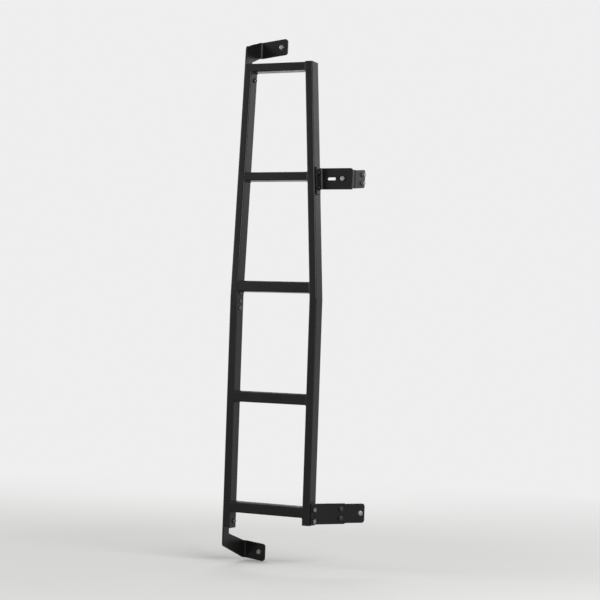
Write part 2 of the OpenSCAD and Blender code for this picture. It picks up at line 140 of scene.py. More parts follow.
class LadderBoltSizes(bpy.types.PropertyGroup):
    """Sizes of the ladder's bolts, nuts and washers"""

    shank_d: length("Shank", "Diameter of a bolt's shank", 8)
    flats: length("Across flats", "Width of a hexagon head or nut across its flats", 13)
    head_h: length("Head height", "Height of a hexagon head", 5.1)
    nut_h: length("Nut height", "Height of a lock nut without its collar", 6.5)
    collar_h: length("Collar", "Height of the round collar of a lock nut", 1.6)
    tail_l: length("Tail", "Length of thread that stands out of a nut", 4)
    thread_pitch: length("Thread pitch", "Distance from one turn of the thread to the next", 1.25)
    thread_h: length("Thread depth", "Depth of the thread", 0.6)
    washer_d: length("Washer", "Diameter of a plain washer", 16)
    washer_t: length("Washer thickness", "Thickness of a washer", 1.6)
    dome_d: length("Button head", "Diameter of a button head", 13.8)
    dome_h: length("Button height", "Height of a button head", 4.2)
    flush_d: length("Flush head", "Diameter of a countersunk head", 15.6)
    socket: length("Socket", "Width of a hexagon socket across its flats", 5)
    socket_deep: length("Socket depth", "Depth of a hexagon socket", 2.6)


class LadderPlaces(bpy.types.PropertyGroup):
    """Where the ladder's own bolts and weld beads are"""

    strap_t: length("Strap", "Thickness of the door straps", 5)
    tab_w: length("Tab width", "Width of a strap's tab on the rail", 33)
    tab_l: length("Tab length", "Length of a strap's tab on the rail", 62)
    tab_bolt_in: length("Tab bolt", "Distance from the end of the rail to the first tab bolt", 19)
    tab_bolt_edge: length("Tab bolt edge", "Distance from the end of the tab to the second tab bolt", 14)
    splice_bolt_in: length("Splice bolt", "Distance from the bend to the nearer splice bolt", 14)
    splice_bolt_pitch: length("Splice pitch", "Distance between two splice bolts", 22)
    bracket_t: length("Bracket", "Thickness of the hinge brackets", 5)
    bracket_tab_y: length("Bracket tab", "Rear edge of the tabs of the hinge brackets", 8)
    fold_r: length("Fold", "Inner radius of every fold", 6)
    arm_drop: length("Arm drop", "Height of a bracket's middle below the centre of its rung", 4)
    bolt_rise: length("Bolt rise", "Height of the upper tab bolt above a bracket's middle", 14)
    upper_bolt_drop: length("Upper bolt drop", "Depth of the lower tab bolt below the upper bracket's middle", 32)
    lower_bolt_drop: length("Lower bolt drop", "Depth of the lower tab bolt below the lower bracket's middle", 20)
    slot_w: length("Slot width", "Width of the adjusting slot", 9)
    slot_end: length("Slot end", "Distance from the slot to the end of the arm", 27)
    angle_past: length("Angle", "Distance by which the angle stands beyond the end of the arm", 3)
    lower_fold_in: length("Lower fold", "Distance from the front of the rail back to the lower arm's fold", 5)
    lower_turn: angle("Lower turn", "Angle by which the lower arm turns outwards", 35)
    lower_arm_l: length("Lower arm", "Length of the lower arm beyond its fold", 100)
    lap_bolt_in: length("Lap bolt", "Distance from the end of the lower arm to its lap bolts", 20)
    lap_bolt_pitch: length("Lap pitch", "Distance between the lap bolts", 28)
    rung_d: length("Rung depth", "Depth of a rung", 40)
    lower_rung_h: length("Lower rung", "Height of the three lower rungs", 32)
    upper_rung_h: length("Upper rung", "Height of the two upper rungs", 25)
    rung_corner: length("Rung corner", "Outer radius of a rung's corners", 4)
    bead: length("Weld bead", "Leg of the weld bead round the end of a rung", 3)
    bead_side: length("Bead at the corner", "Width of a weld bead over the rail's rounded corners", 1.2)
    bead_flush: length("Bead at the cap", "Width of a weld bead above the top rung, beside the caps", 0.6)
    bead_foot: length("Bead foot", "Depth of a weld bead's foot below the rail's flat side", 2.2)
    bead_sunk: length("Bead root", "Depth of a weld bead's root below the rung's surface", 0.5)
    bead_step: length("Weld ripple", "Distance from one ripple of a weld bead to the next", 2.4)
    bead_ripple: length("Ripple height", "Height of the ripples of a weld bead", 0.22)


class LadderFinish(bpy.types.PropertyGroup):
    """Colours and surface of the ladder's materials"""

    paint: colour("Paint", "Colour of the powder coat", (0.0075, 0.0075, 0.0081))
    paint_rough: share("Paint roughness", "Roughness of the powder coat", 0.27)
    paint_gloss: share("Paint gloss", "Strength of the powder coat's reflection", 0.16)
    peel: length("Orange peel", "Width of the powder coat's ripples", 1.6)
    peel_h: length("Peel height", "Height of the powder coat's ripples", 0.05)
    edge_r: length("Edge", "Radius to which the coat rounds a cut edge", 0.9)
    worn: colour("Worn edge", "Colour where a coated edge is rubbed", (0.085, 0.085, 0.088))
    dust: colour("Dust", "Colour of the dust that lies on upward faces", (0.19, 0.18, 0.165))
    steel: colour("Bolt steel", "Colour of the bright bolts", (0.27, 0.265, 0.26))
    grey: colour("Grey steel", "Colour of the button heads on the rails", (0.12, 0.12, 0.12))
    black: colour("Black steel", "Colour of the blackened bolts and washers", (0.045, 0.045, 0.047))
    steel_rough: share("Bolt roughness", "Roughness of the bolts", 0.38)
    plastic: colour("Cap plastic", "Colour of the end caps", (0.012, 0.012, 0.012))
    plastic_rough: share("Cap roughness", "Roughness of the end caps", 0.52)


class LadderStage(bpy.types.PropertyGroup):
    """Camera, floor and lights"""

    azimuth: angle("Azimuth", "Angle of the camera to the right of the ladder's rear", 27.8)
    elevation: angle("Elevation", "Angle of the camera above the ladder's middle", -0.9)
    roll: angle("Roll", "Turn of the camera about its line of sight", 1.95)
    distance: FloatProperty(name="Distance", description="Distance from the camera to the ladder's middle",
                            default=5.8, min=1, unit="LENGTH")
    lens: FloatProperty(name="Lens", description="Focal length in millimetres", default=113, min=20,
                        subtype="DISTANCE_CAMERA", unit="CAMERA")
    floor_r: FloatProperty(name="Floor", description="Radius of the floor", default=14, min=2, unit="LENGTH")
    floor_edge: length("Floor gap", "Gap between the floor and the lowest point", 0.5)
    floor_rings: IntProperty(name="Floor sides", description="Number of the floor's sides", default=64, min=12)
    key: FloatProperty(name="Key lamp", description="Power of the lamp beside the hinge brackets", default=110, min=0,
                       unit="POWER")
    fill: FloatProperty(name="Fill lamp", description="Power of the lamp on the free side", default=35, min=0,
                        unit="POWER")
    far: FloatProperty(name="Far lamp", description="Power of the lamp on the side of the feet", default=50, min=0,
                       unit="POWER")
    sheen: FloatProperty(name="Sheen lamp", description="Power of the lamp that lights the inner sides of the rails",
                         default=9, min=0, unit="POWER")
    pale: colour("Floor colour", "Colour of the floor", (0.78, 0.78, 0.77))
    backdrop: colour("Backdrop", "Colour behind the ladder", (0.86, 0.86, 0.86))
    ambient: FloatProperty(name="Ambient", description="Strength of the light from all round", default=0.35, min=0)


class LadderSettings(bpy.types.PropertyGroup):
    """All settings of the ladder"""

    bolts: PointerProperty(type=LadderBoltSizes)
    places: PointerProperty(type=LadderPlaces)
    finish: PointerProperty(type=LadderFinish)
    stage: PointerProperty(type=LadderStage)


def settings():
    """The ladder's settings in the present scene."""
    return bpy.context.scene.ladder


class Axes:
    """The ladder's own axes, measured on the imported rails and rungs.

    In each of them x runs from the outer side of the left rail, y from the rear of the lower rails, and z up along
    the rails: from the centre of the lowest rung in low, and from the bend in upper. In right, x and z are centred
    on the tube of the upper right rail.
    """

    def __init__(self):
        places = settings().places
        left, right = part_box("lower_left_rail"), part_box("lower_right_rail")
        top = [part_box(name) for name in ("rung_4", "rung_5")]
        self.rail_w = left[1].x - left[0].x
        self.rail_d = left[1].y - left[0].y
        self.mid_y = self.rail_d / 2
        self.outer_w = right[1].x - left[0].x
        self.bend_z = left[1].z
        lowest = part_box("rung_1")[0].z + places.lower_rung_h / 2
        self.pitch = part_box("rung_2")[0].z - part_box("rung_1")[0].z
        self.bend_drop = LOW_RUNGS * self.pitch - (self.bend_z - lowest)
        self.tail = lowest - left[0].z
        middles = [(low + high) / 2 for low, high in top]
        climb = middles[1] - middles[0]
        self.lean = math.atan2(climb.y, climb.z)
        self.taper = math.atan2(top[0][1].x - top[1][1].x, math.hypot(climb.y, climb.z))
        corner = Vector((left[0].x, left[0].y, 0))
        self.low = Matrix.Translation(corner + Vector((0, 0, lowest)))
        self.upper = Matrix.Translation(corner + Vector((0, 0, self.bend_z))) @ Matrix.Rotation(-self.lean, 4, "X")
        axis_x = self.outer_w - self.rail_w / 2
        self.right = self.upper @ Matrix.Translation((axis_x, 0, 0)) @ Matrix.Rotation(-self.taper, 4, "Y")
        rail_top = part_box("upper_left_rail")[1]
        self.rail_top_u = (rail_top.z - self.bend_z) / math.cos(self.lean)
        self.arm_u = self.bend_drop + self.pitch - places.arm_drop

    def on_right(self, u, x):
        """Height along the upper right rail at which its plane x meets the height u."""
        return (u - x * math.sin(self.taper)) / math.cos(self.taper)


def facing(axes, place, outwards):
    """Matrix with its origin at a place in some axes, and its z along the axis named by outwards."""
    turns = {
        "+x": Matrix.Rotation(math.radians(90), 4, "Y"),
        "-x": Matrix.Rotation(math.radians(-90), 4, "Y"),
        "+y": Matrix.Rotation(math.radians(-90), 4, "X"),
        "-y": Matrix.Rotation(math.radians(90), 4, "X"),
    }
    return axes @ Matrix.Translation(place) @ turns[outwards]


def along(place, direction):
    """Matrix with its origin at a place in the model, and its z along a direction."""
    return Matrix.Translation(place) @ Vector(direction).to_track_quat("Z", "Y").to_matrix().to_4x4()


def hex_radius(flats, turn):
    """Distance from the middle of a hexagon to its side, in the direction turn."""
    sixth = math.pi / 3
    return flats / 2 / math.cos(turn % sixth - sixth / 2)


def round_ring(radius, height):
    """Ring of a stack: a circle."""
    return lambda turn: (radius, height)


def hex_ring(flats, height):
    """Ring of a stack: a hexagon."""
    return lambda turn: (hex_radius(flats, turn), height)


def crown_ring(flats, height):
    """Ring of a stack: the edge where the turned chamfer of a head meets its flats."""
    return lambda turn: (hex_radius(flats, turn), height - (hex_radius(flats, turn) - CROWN * flats) * CHAMFER)


def seat_ring(verts, ring):
    """Moves a loop of vertices on to a ring of a stack, each at its own turn."""
    for v in verts:
        turn = math.atan2(v.co.y, v.co.x)
        radius, height = ring(turn)
        v.co = (radius * math.cos(turn), radius * math.sin(turn), height)


def first_loop(bm, segments):
    """Adds a circle, and gives its vertices and edges."""
    before = len(bm.edges)
    verts = bmesh.ops.create_circle(bm, cap_ends=False, segments=segments, radius=1)["verts"]
    return verts, list(bm.edges)[before:]


def next_loop(bm, loop):
    """Extrudes a loop of edges, and gives the new vertices and edges."""
    grown = bmesh.ops.extrude_edge_only(bm, edges=loop)["geom"]
    return ([g for g in grown if isinstance(g, bmesh.types.BMVert)],
            [g for g in grown if isinstance(g, bmesh.types.BMEdge)])


def set_down(bm, place, verts):
    """Turns the faces of a new solid outwards, and moves it from the origin to its place."""
    bmesh.ops.recalc_face_normals(bm, faces=list({f for v in verts for f in v.link_faces}))
    bmesh.ops.transform(bm, matrix=place, verts=verts)


def add_stack(bm, place, rings, hollow=False):
    """Adds a solid made of rings one above another, closed at both ends, or joined end to start where hollow."""
    verts, loop = first_loop(bm, SEGMENTS)
    first = loop
    every = list(verts)
    seat_ring(verts, rings[0])
    for ring in rings[1:]:
        verts, loop = next_loop(bm, loop)
        seat_ring(verts, ring)
        every += verts
    if hollow:
        bmesh.ops.bridge_loops(bm, edges=first + loop)
    else:
        bmesh.ops.edgeloop_fill(bm, edges=first)
        bmesh.ops.edgeloop_fill(bm, edges=loop)
    set_down(bm, place, every)


def raised(place, height):
    """The same place, moved outwards along its own z."""
    return place @ Matrix.Translation((0, 0, height))


def add_washer(bm, place):
    """Adds a flat washer with rounded rims and its hole."""
    bolts = settings().bolts
    rim = 0.2 * bolts.washer_t
    play = 0.2 * MM
    bore = bolts.shank_d / 2 + play
    outer = bolts.washer_d / 2
    add_stack(bm, place, [
        round_ring(bore, 0), round_ring(outer - rim, 0), round_ring(outer, rim),
        round_ring(outer, bolts.washer_t - rim), round_ring(outer - rim, bolts.washer_t),
        round_ring(bore, bolts.washer_t)], hollow=True)


def add_shank(bm, place, deep):
    """Adds the plain shank of a bolt, down to a depth below the surface where the bolt sits."""
    bolts = settings().bolts
    rim = bolts.thread_h
    radius = bolts.shank_d / 2
    add_stack(bm, place, [round_ring(radius - rim, -deep), round_ring(radius, rim - deep), round_ring(radius, 0)])


def add_hex_bolt(bm, place, deep):
    """Adds a hexagon bolt over a washer, with its shank reaching down to a depth."""
    bolts = settings().bolts
    seat = raised(place, bolts.washer_t)
    crown = CROWN * bolts.flats
    collar = 0.5 * MM
    dish, dish_floor, dish_deep = 0.3 * bolts.flats, 0.28 * bolts.flats, 0.3 * MM
    add_stack(bm, seat, [
        round_ring(crown, 0), round_ring(crown, collar), hex_ring(bolts.flats, collar),
        crown_ring(bolts.flats, bolts.head_h), round_ring(crown, bolts.head_h),
        round_ring(dish, bolts.head_h), round_ring(dish_floor, bolts.head_h - dish_deep)])
    add_shank(bm, seat, deep + bolts.washer_t)


def add_lock_nut(bm, place):
    """Adds a lock nut over a washer, with the threaded end of its bolt."""
    bolts = settings().bolts
    seat = raised(place, bolts.washer_t)
    low = bolts.nut_h
    high = low + bolts.collar_h
    crown = CROWN * bolts.flats
    collar_foot, collar_top, collar_round = 0.45 * bolts.flats, 0.4 * bolts.flats, 0.4 * MM
    chamfer = 0.6 * MM
    crest = bolts.shank_d / 2
    root = crest - bolts.thread_h
    play = 0.1 * MM
    add_stack(bm, seat, [
        round_ring(crown, 0), hex_ring(bolts.flats, chamfer), crown_ring(bolts.flats, low), round_ring(crown, low),
        round_ring(collar_foot, high - collar_round), round_ring(collar_top, high), round_ring(crest + play, high)])
    turns = int(bolts.tail_l / bolts.thread_pitch)
    crest_at, root_at = 0.25, 0.6
    rings = [round_ring(crest, high - bolts.thread_pitch)]
    for i in range(turns):
        rings += [round_ring(crest, high + (i + crest_at) * bolts.thread_pitch),
                  round_ring(root, high + (i + root_at) * bolts.thread_pitch)]
    rings.append(round_ring(root, high + turns * bolts.thread_pitch))
    add_stack(bm, seat, rings)


def socket_rings(bolts, rim_height, rim_radius):
    """Rings that sink a hexagon socket into a head, from the flat at its top."""
    floor = rim_height - bolts.socket_deep
    chamfer = 0.3 * MM
    drilled, drill_point = 0.3 * bolts.socket, 0.5 * MM
    return [round_ring(rim_radius, rim_height), hex_ring(bolts.socket, rim_height - chamfer),
            hex_ring(bolts.socket, floor), round_ring(drilled, floor - drill_point)]


def add_button(bm, place):
    """Adds a button-head screw with a hexagon socket."""
    bolts = settings().bolts
    radius = bolts.dome_d / 2
    flat = SOCKET_RIM * bolts.socket
    rim, flat_rim = 0.7 * MM, 0.2 * MM
    rings = [round_ring(radius, 0), round_ring(radius, rim)]
    for i in range(1, DOME_STEPS + 1):
        swing = math.pi / 2 * i / DOME_STEPS
        rings.append(round_ring(flat + (radius - flat) * math.cos(swing),
                                rim + (bolts.dome_h - rim) * math.sin(swing)))
    add_stack(bm, place, rings + socket_rings(bolts, bolts.dome_h, flat - flat_rim))


def add_flush_screw(bm, place):
    """Adds a countersunk screw whose head lies level with the plate."""
    bolts = settings().bolts
    radius, shank = bolts.flush_d / 2, bolts.shank_d / 2
    lip = 0.6 * MM
    proud, edge_h, edge_w = 0.08 * MM, 0.04 * MM, 0.12 * MM
    add_stack(bm, place, [
        round_ring(shank, shank - radius - lip), round_ring(radius, -lip),
        round_ring(radius, proud - edge_h), round_ring(radius - edge_w, proud)]
        + socket_rings(bolts, proud, SOCKET_RIM * bolts.socket))


def rung_outline(run, depth, height, corner):
    """Point and outward direction at a run along the rounded section of a rung, side by side and corner by corner."""
    arc = corner * math.pi / 2
    for side in range(4):
        reach, rise = (depth / 2, height / 2) if side % 2 == 0 else (height / 2, depth / 2)
        straight = 2 * (rise - corner)
        turned = Matrix.Rotation(side * math.pi / 2, 2)
        if run <= straight:
            return turned @ Vector((reach, run - straight / 2)), turned @ Vector((1, 0))
        run -= straight
        if run <= arc or side == 3:
            swing = min(run / corner, math.pi / 2)
            direction = Vector((math.cos(swing), math.sin(swing)))
            return turned @ (Vector((reach - corner, rise - corner)) + corner * direction), turned @ direction
        run -= arc


def bead_section(places):
    """Section of a weld bead: the width and height of each of its points, and how much the ripples swell there."""
    points = [(-places.bead_sunk, places.bead, 0)]
    for i in range(1, BEAD_STEPS + 1):
        part = i / (BEAD_STEPS + 1)
        swing = part * math.pi / 2
        points.append((places.bead * (part + math.sin(swing)) / 2, places.bead * (1 - part + math.cos(swing)) / 2,
                       math.sin(2 * swing)))
    return points + [(places.bead, -places.bead_foot, 0), (-places.bead_sunk, -places.bead_foot, 0)]


def add_bead(bm, place, depth, height, top):
    """Adds a rippled weld bead round the end of a rung, whose section lies in the place's own x and y.

    Its width is top above the rung, and narrows at the rail's rounded corners.
    """
    places = settings().places
    corner, leg = places.rung_corner, places.bead
    upwards = math.copysign(1, place.col[1].z)
    around = 2 * (depth + height) - (8 - 2 * math.pi) * corner
    ripples = round(around / places.bead_step)
    samples = ripples * RIPPLE_SAMPLES
    runs = bm.verts.layers.float.get("run") or bm.verts.layers.float.new("run")
    verts, loop = first_loop(bm, samples)
    for i, v in enumerate(verts):
        v[runs] = around * i / samples
    first = loop
    every = list(verts)
    for step, (out, up, swell) in enumerate(bead_section(places)):
        if step:
            verts, loop = next_loop(bm, loop)
            every += verts
        for v in verts:
            point, direction = rung_outline(v[runs], depth, height, corner)
            narrow = 1
            if out > 0:
                narrow -= (1 - places.bead_side / leg) * direction.x ** 2
                narrow -= (1 - top / leg) * max(0, direction.y * upwards) ** 2
            wave = math.cos(2 * math.pi * v[runs] * ripples / around - 2 * swell)
            puff = places.bead_ripple * swell * wave
            point += direction * (out + puff) * narrow
            v.co = (point.x, point.y, up + puff)
    bmesh.ops.bridge_loops(bm, edges=first + loop)
    set_down(bm, place, every)


def finish_piece(name, bm, material):
    """Turns a bmesh into a piece that rides on the ladder, with its finish."""
    bmesh.ops.remove_doubles(bm, verts=bm.verts, dist=MERGE)
    for f in bm.faces:
        f.smooth = True
    for e in bm.edges:
        e.smooth = len(e.link_faces) == 2 and e.calc_face_angle(0) < SHARP_ANGLE
    mesh = bpy.data.meshes.new(name)
    bm.to_mesh(mesh)
    bm.free()
    piece = bpy.data.objects.new(name, mesh)
    bpy.context.scene.collection.objects.link(piece)
    piece.data.materials.append(material)
    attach(piece, BODY)
    return piece


class BoltGroup:
    """Bolts and nuts of one group, and the washers below them, which become two pieces."""

    def __init__(self):
        self.heads = bmesh.new()
        self.washers = bmesh.new()

    def bolt(self, place, deep):
        """Adds a hexagon bolt on its washer."""
        add_washer(self.washers, place)
        add_hex_bolt(self.heads, place, deep)

    def nut(self, place):
        """Adds a lock nut on its washer."""
        add_washer(self.washers, place)
        add_lock_nut(self.heads, place)

    def button(self, place):
        """Adds a button head on its washer."""
        add_washer(self.washers, place)
        add_button(self.heads, raised(place, settings().bolts.washer_t))

    def finish(self, name, steel, washer_steel):
        """Turns the group into its bolts or nuts and its washers, each with a steel of its own."""
        finish_piece(name, self.heads, steel)
        finish_piece(f"{name}_washers", self.washers, washer_steel)


class Nodes:
    """Short way to write a material's node tree."""

    def __init__(self, tree):
        self.tree = tree

    def add(self, kind, inputs=(), **settings_of):
        """Adds a node of a kind, with its properties and its inputs, each a value or another node's output."""
        node = self.tree.nodes.new("ShaderNode" + kind)
        for key, value in settings_of.items():
            setattr(node, key, value)
        for key, value in dict(inputs).items():
            if isinstance(value, bpy.types.NodeSocket):
                self.tree.links.new(value, node.inputs[key])
            else:
                node.inputs[key].default_value = value
        return node

    def math(self, operation, a, b=0.0):
        """Output of a sum on two numbers or outputs."""
        return self.add("Math", {0: a, 1: b}, operation=operation).outputs[0]

    def noise(self, vector, width, detail=2.0, rough=0.5):
        """Output of a noise whose blots are about that wide."""
        return self.add("TexNoise", {"Vector": vector, "Scale": 1 / width, "Detail": detail,
                                     "Roughness": rough}).outputs["Fac"]

    def between(self, value, low, high, out_low=0.0, out_high=1.0):
        """Output of a value carried from one range to another and kept within it."""
        return self.add("MapRange", {"Value": value, "From Min": low, "From Max": high, "To Min": out_low,
                                     "To Max": out_high}, clamp=True).outputs[0]

    def mix(self, factor, a, b):
        """Output of two colours mixed by a factor."""
        return self.add("Mix", {MIX_FACTOR: factor, MIX_A: a, MIX_B: b}, data_type="RGBA").outputs[MIX_RESULT]

    def tones(self, factor, colour, dark, light):
        """Output of a colour that a noise makes darker and lighter by two factors."""
        return self.mix(factor, rgba(Vector(colour) * dark), rgba(Vector(colour) * light))

    def spread(self, factor, value, less, more):
        """Output of a value that a noise makes smaller and larger by two steps."""
        return self.between(factor, *NOISE_SPAN, value - less, value + more)

    def bump(self, shader, height, strength, depth, soft=None):
        """Dents a shader's surface by a noise, over a softened normal where one is given."""
        inputs = {"Height": height, "Strength": strength, "Distance": depth}
        if soft:
            inputs["Normal"] = soft.outputs[0]
        self.tree.links.new(self.add("Bump", inputs).outputs[0], shader.inputs["Normal"])


def rgba(value):
    """A colour with its alpha."""
    return (*value, 1.0)


def new_material(name):
    """A material with an empty principled shader, and its nodes."""
    material = bpy.data.materials.new(name)
    material.use_nodes = True
    tree = material.node_tree
    shader = next(n for n in tree.nodes if n.type == "BSDF_PRINCIPLED")
    return material, shader, Nodes(tree)


def powder_coat(name, seed, wear):
    """Black powder coat: fine orange peel, rounded and here and there rubbed edges, dust on upward faces."""
    finish = settings().finish
    material, shader, nodes = new_material(name)
    link = nodes.tree.links.new
    place = nodes.add("TexCoord").outputs["Object"]
    place = nodes.add("Mapping", {"Vector": place, "Location": (seed, 2 * seed, 3 * seed)}).outputs[0]
    geometry = nodes.add("NewGeometry")
    soft = nodes.add("Bevel", {"Radius": finish.edge_r}, samples=BEVEL_SAMPLES)
    turned = nodes.add("VectorMath", {0: soft.outputs[0], 1: geometry.outputs["Normal"]}, operation="DOT_PRODUCT")
    edge = nodes.between(turned.outputs["Value"], *EDGE_TURN)
    patches = nodes.between(nodes.noise(place, width=22 * MM, detail=4, rough=0.6), *RUBBED_PATCH)
    rubbed = nodes.math("MULTIPLY", nodes.math("MULTIPLY", edge, patches), wear)
    up = nodes.add("SeparateXYZ", {0: geometry.outputs["Normal"]}).outputs["Z"]
    level = nodes.between(up, *LEVEL_FACE)
    settled = nodes.between(nodes.noise(place, width=35 * MM, detail=5, rough=0.65), *DUST_NOISE, *DUST_SHARE)
    dusty = nodes.math("MULTIPLY", level, settled)
    mottle = nodes.noise(place, width=60 * MM, detail=3)
    coat = nodes.tones(mottle, finish.paint, dark=0.8, light=1.25)
    coat = nodes.mix(rubbed, coat, rgba(finish.worn))
    coat = nodes.mix(dusty, coat, rgba(finish.dust))
    link(coat, shader.inputs["Base Color"])
    patina = nodes.noise(place, width=90 * MM, detail=4, rough=0.55)
    rough = nodes.spread(patina, finish.paint_rough, less=0.05, more=0.07)
    rough = nodes.math("ADD", rough, nodes.math("MULTIPLY", dusty, DUST_ROUGH))
    link(rough, shader.inputs["Roughness"])
    peel = nodes.noise(place, width=finish.peel)
    nodes.bump(shader, peel, strength=0.6, depth=finish.peel_h, soft=soft)
    shader.inputs["Specular IOR Level"].default_value = finish.paint_gloss
    return material


def bolt_steel(name, tone):
    """Bolt steel with fine turning marks and a little staining."""
    finish = settings().finish
    material, shader, nodes = new_material(name)
    link = nodes.tree.links.new
    place = nodes.add("TexCoord").outputs["Object"]
    stain = nodes.noise(place, width=5 * MM, detail=4, rough=0.6)
    link(nodes.tones(stain, tone, dark=0.72, light=1.1), shader.inputs["Base Color"])
    marks = nodes.noise(place, width=0.4 * MM)
    link(nodes.spread(stain, finish.steel_rough, less=0.06, more=0.12), shader.inputs["Roughness"])
    nodes.bump(shader, marks, strength=0.35, depth=0.02 * MM)
    shader.inputs["Metallic"].default_value = 1.0
    return material


def drawn_steel():
    """Plain rolled bar, drawn along its length."""
    finish = settings().finish
    material, shader, nodes = new_material("drawn_steel")
    link = nodes.tree.links.new
    place = nodes.add("TexCoord").outputs["Object"]
    drawn = nodes.add("Mapping", {"Vector": place, "Scale": (1, 1, 0.04)}).outputs[0]
    grain = nodes.noise(drawn, width=0.6 * MM, detail=3)
    link(nodes.tones(grain, finish.steel, dark=0.6, light=0.85), shader.inputs["Base Color"])
    link(nodes.spread(grain, finish.steel_rough, less=0.03, more=0.12), shader.inputs["Roughness"])
    nodes.bump(shader, grain, strength=0.3, depth=0.03 * MM)
    shader.inputs["Metallic"].default_value = 1.0
    return material


def grained_plastic():
    """Moulded black plastic with a fine grain."""
    finish = settings().finish
    material, shader, nodes = new_material("grained_plastic")
    link = nodes.tree.links.new
    place = nodes.add("TexCoord").outputs["Object"]
    grain = nodes.noise(place, width=0.5 * MM, detail=3, rough=0.6)
    fade = nodes.noise(place, width=12 * MM, detail=3)
    link(nodes.tones(fade, finish.plastic, dark=0.8, light=1.6), shader.inputs["Base Color"])
    link(nodes.spread(fade, finish.plastic_rough, less=0.05, more=0.08), shader.inputs["Roughness"])
    soft = nodes.add("Bevel", {"Radius": 0.6 * MM}, samples=BEVEL_SAMPLES)
    nodes.bump(shader, grain, strength=0.5, depth=0.06 * MM, soft=soft)
    return material


def kept_material(name, make):
    """The material of that name, made when it is first asked for."""
    return bpy.data.materials.get(name) or make()


def frame_coat():
    """Coat of the rails, rungs and weld beads."""
    return kept_material("frame_coat", lambda: powder_coat("frame_coat", seed=0.3, wear=0.35))


def bracket_coat():
    """Coat of the straps and hinge brackets."""
    return kept_material("bracket_coat", lambda: powder_coat("bracket_coat", seed=1.7, wear=0.6))


def bright_steel():
    """Finish of the bolts in the feet, the hinge holes, the slot and the lower bracket's tab."""
    return kept_material("bright_steel", lambda: bolt_steel("bright_steel", settings().finish.steel))


def grey_steel():
    """Finish of the button heads on the rails."""
    return kept_material("grey_steel", lambda: bolt_steel("grey_steel", settings().finish.grey))


def black_steel():
    """Finish of the other bolts and screws, and of most washers."""
    return kept_material("black_steel", lambda: bolt_steel("black_steel", settings().finish.black))


class LADDER_OT_finishes(bpy.types.Operator):
    """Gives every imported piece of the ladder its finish"""

    bl_idname = "ladder.finishes"
    bl_label = "Finishes"

    def execute(self, context):
        finishes = {
            "frame_paint": frame_coat(),
            "bracket_paint": bracket_coat(),
            "cap_plastic": kept_material("grained_plastic", grained_plastic),
            "splice_steel": kept_material("drawn_steel", drawn_steel),
        }
        for subpart in frame["record"]["subparts"]:
            node = frame["nodes"][subpart["node"]]
            node.data.materials.clear()
            node.data.materials.append(finishes[subpart["material_slot"]])
        return {"FINISHED"}


class LADDER_OT_mount_bolts(bpy.types.Operator):
    """Adds a hexagon bolt in every fixing hole of the feet and the hinge brackets"""

    bl_idname = "ladder.mount_bolts"
    bl_label = "Fixing bolts"

    def execute(self, context):
        short = 0.2 * MM
        for name, word in (("foot_bolts", "foot_hole"), ("hinge_bolts", "hinge_hole")):
            group = BoltGroup()
            for mount in frame["record"]["mounts"]:
                if word not in mount["name"]:
                    continue
                thick = mount["dims"]["length_mm"] * MM
                outwards = Vector(mount["axis"]).normalized()
                seat = Vector(mount["pos_m"]) + outwards * thick / 2
                group.bolt(along(seat, outwards), thick - short)
            group.finish(name, bright_steel(), bright_steel())
        return {"FINISHED"}


class LADDER_OT_strap_screws(bpy.types.Operator):
    """Adds the countersunk screws of the door straps, and the buttons of the two that go through the left rail"""

    bl_idname = "ladder.strap_screws"
    bl_label = "Strap screws"

    def execute(self, context):
        axes, places = Axes(), settings().places
        bm = bmesh.new()
        y = axes.rail_d - places.tab_w / 2
        near, far = places.tab_bolt_in, places.tab_l - places.tab_bolt_edge
        for reach in (near, far):
            add_flush_screw(bm, facing(axes.low, (-places.strap_t, y, reach - axes.tail), "-x"))
            add_flush_screw(bm, facing(axes.upper, (-places.strap_t, y, axes.rail_top_u - reach), "-x"))
        finish_piece("strap_screws", bm, black_steel())
        caps = BoltGroup()
        caps.button(facing(axes.low, (axes.rail_w, y, near - axes.tail), "+x"))
        caps.button(facing(axes.upper, (axes.rail_w, y, axes.rail_top_u - far), "+x"))
        caps.finish("strap_buttons", grey_steel(), black_steel())
        return {"FINISHED"}


class LADDER_OT_bracket_bolts(bpy.types.Operator):
    """Adds the hexagon bolts that hold the hinge brackets on the right rail"""

    bl_idname = "ladder.bracket_bolts"
    bl_label = "Bracket bolts"

    def execute(self, context):
        axes, places = Axes(), settings().places
        lower, upper = BoltGroup(), BoltGroup()
        y = (places.bracket_tab_y + axes.rail_d - places.bracket_t - places.fold_r) / 2
        for z in (-places.lower_bolt_drop, places.bolt_rise):
            place = facing(axes.low, (axes.outer_w + places.bracket_t, y, z - places.arm_drop), "+x")
            lower.bolt(place, places.bracket_t)
        for z in (-places.upper_bolt_drop, places.bolt_rise):
            side = axes.rail_w / 2 + places.bracket_t
            place = facing(axes.right, (side, y, axes.arm_u / math.cos(axes.taper) + z), "+x")
            upper.bolt(place, places.bracket_t)
        lower.finish("lower_bracket_bolts", bright_steel(), black_steel())
        upper.finish("upper_bracket_bolts", black_steel(), black_steel())
        return {"FINISHED"}


class LADDER_OT_slot_bolt(bpy.types.Operator):
    """Adds the bolt that clamps the angle through the slot of the upper bracket"""

    bl_idname = "ladder.slot_bolt"
    bl_label = "Slot bolt"

    def execute(self, context):
        axes, places = Axes(), settings().places
        hinge_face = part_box("upper_hinge_angle")[1].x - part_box("lower_left_rail")[0].x
        x = hinge_face - places.angle_past - places.slot_end - places.slot_w / 2
        group = BoltGroup()
        group.bolt(facing(axes.upper, (x, axes.rail_d - places.bracket_t, axes.arm_u), "-y"), 2 * places.bracket_t)
        group.nut(facing(axes.upper, (x, axes.rail_d + places.bracket_t, axes.arm_u), "+y"))
        group.finish("slot_bolt", bright_steel(), black_steel())
        return {"FINISHED"}


